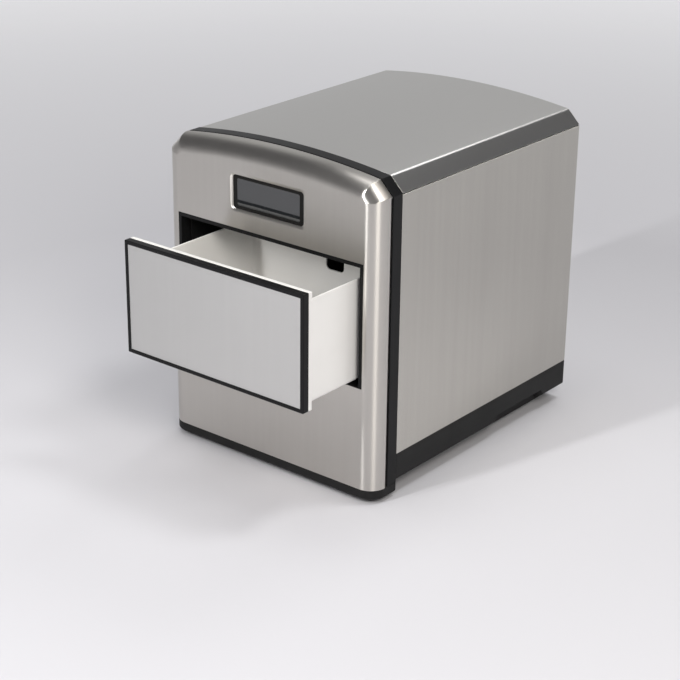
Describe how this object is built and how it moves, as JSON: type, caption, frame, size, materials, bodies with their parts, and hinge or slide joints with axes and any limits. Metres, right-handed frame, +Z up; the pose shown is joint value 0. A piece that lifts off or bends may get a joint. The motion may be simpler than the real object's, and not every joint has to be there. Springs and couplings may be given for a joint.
{
  "type": "countertop ice maker",
  "caption": "Compact stainless steel countertop ice maker with an arched top, a dark display window and a pull-out white ice drawer.",
  "frame": {"origin": "on the floor, under the middle of the body's footprint, on the centre line between the side panels", "axes": "+Z up, +Y from the front panel to the rear, +X to the right as seen from the front; the drawer slides out along -Y"},
  "size_m": [0.36, 0.5733, 0.4469],
  "materials": {
    "stainless": "fine vertical brushing",
    "black_trim": "satin black",
    "black_plastic": "matt black",
    "white_plastic": "smooth white",
    "grey_plastic": "matt grey",
    "clear_plastic": "milky",
    "float_foam": "closed-cell foam",
    "insulation": "expanded foam",
    "smoked_glass": "smoked, polished",
    "zinc_steel": "zinc-coated sheet",
    "fastener": "plated",
    "shaft_steel": "ground",
    "rubber": "matt",
    "silicone": "milky hose",
    "plated": "nickel-plated",
    "aluminium": "mill finish",
    "copper": "drawn copper",
    "shell_paint": "black stove enamel",
    "motor_casing": "grey casing",
    "circuit": "green board"
  },
  "bodies": {
    "cabinet": {"front_panel": "stainless", "trim_strip": "black_trim", "top_cover": "stainless", "left_side_panel": "stainless", "right_side_panel": "stainless", "rear_panel": "zinc_steel", "rear_screws": "fastener", "base_tray": "black_plastic", "front_base_strip": "black_plastic", "rubber_feet": "rubber", "window_bezel": "black_plastic", "display_window": "smoked_glass", "display_board": "circuit", "drawer_opening_frame": "black_trim", "compartment_liner": "black_plastic", "compartment_insulation": "insulation", "bulkhead": "zinc_steel", "water_reservoir": "clear_plastic", "water_pump": "grey_plastic", "pump_hose": "silicone", "float_stem": "grey_plastic", "drain_hose": "silicone", "drain_outlet": "black_plastic", "freezing_fingers": "plated", "evaporator_plate": "aluminium", "evaporator_tube": "copper", "evaporator_hood": "white_plastic", "tray_motor": "motor_casing", "ice_chute": "white_plastic", "level_arm_bracket": "black_plastic", "compressor": "shell_paint", "compressor_grommets": "rubber", "compressor_nuts": "fastener", "compressor_terminal_cover": "grey_plastic", "condenser_tube": "copper", "condenser_fins": "aluminium", "fan_shroud": "black_plastic", "fan_motor": "motor_casing", "fan_motor_bracket": "zinc_steel", "filter_drier": "copper", "liquid_line": "copper", "capillary_tube": "copper", "suction_line": "copper", "hot_gas_valve": "motor_casing", "hot_gas_line": "copper", "discharge_line": "copper", "electrics_box": "black_plastic", "control_board": "circuit", "power_inlet": "black_plastic"},
    "drawer": {"drawer_front_plate": "stainless", "drawer_front_frame": "black_trim", "drawer_front_backing": "white_plastic", "drawer_bin": "white_plastic"},
    "tilting_tray": {"water_tray": "grey_plastic", "tray_shaft": "shaft_steel"},
    "level_arm": {"ice_level_arm": "grey_plastic"},
    "level_float": {"water_float": "float_foam"},
    "fan_rotor": {"fan_blade": "black_plastic", "fan_shaft": "shaft_steel"},
    "drain_closure": {"drain_cap": "black_plastic"}
  },
  "joints": [
    {"name": "drawer_slide", "type": "slide", "parent": "cabinet", "child": "drawer", "axis": [0, -1, 0], "range_m": [-0.107, 0.05]},
    {"name": "tray_tilt", "type": "hinge", "parent": "cabinet", "child": "tilting_tray", "pos_m": [0, -0.0135, 0.39996], "axis": [1, 0, 0], "range_deg": [0, 90]},
    {"name": "level_arm_lift", "type": "hinge", "parent": "cabinet", "child": "level_arm", "pos_m": [0.032, -0.0005, 0.294], "axis": [-1, 0, 0], "range_deg": [0, 20]},
    {"name": "float_rise", "type": "slide", "parent": "cabinet", "child": "level_float", "axis": [0, 0, 1], "range_m": [0, 0.0494]},
    {"name": "fan_spin", "type": "hinge", "parent": "cabinet", "child": "fan_rotor", "pos_m": [-0.075, 0.16, 0.149], "axis": [0, 1, 0], "continuous": true},
    {"name": "drain_cap_turn", "type": "hinge", "parent": "cabinet", "child": "drain_closure", "pos_m": [-0.12, 0.2255, 0.045], "axis": [0, 1, 0], "range_deg": [0, 90]}
  ]
}
